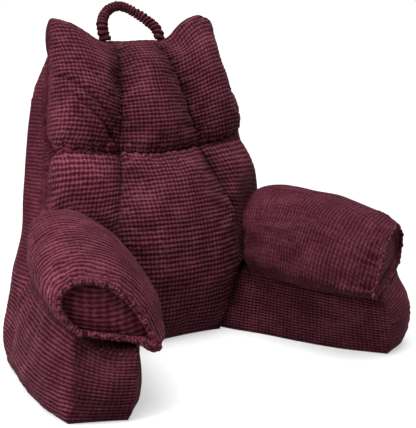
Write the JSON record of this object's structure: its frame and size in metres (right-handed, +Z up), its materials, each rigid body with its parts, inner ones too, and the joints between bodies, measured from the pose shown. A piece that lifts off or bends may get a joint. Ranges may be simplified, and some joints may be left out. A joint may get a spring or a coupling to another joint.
{
  "type": "reading pillow with arms",
  "caption": "Free-standing back-rest cushion with channelled head and lumbar pads, splayed arms with bolsters, and a top carry handle.",
  "frame": {"origin": "on the floor, under the middle of the whole pillow's bounding box", "axes": "+Z up, +X towards the sitter's left hand, -Y towards the sitter's feet; the width runs along X"},
  "size_m": [0.7566, 0.5733, 0.6573],
  "materials": {
    "cover": "plush waffle cloth, wine red",
    "handle_cover": "the same cloth, scrunched"
  },
  "bodies": {
    "root": {"base_body": "cover", "head_cushion": "cover", "lumbar_cushion": "cover", "arm_bolster_left": "cover", "arm_bolster_right": "cover", "handle": "handle_cover"}
  },
  "joints": []
}
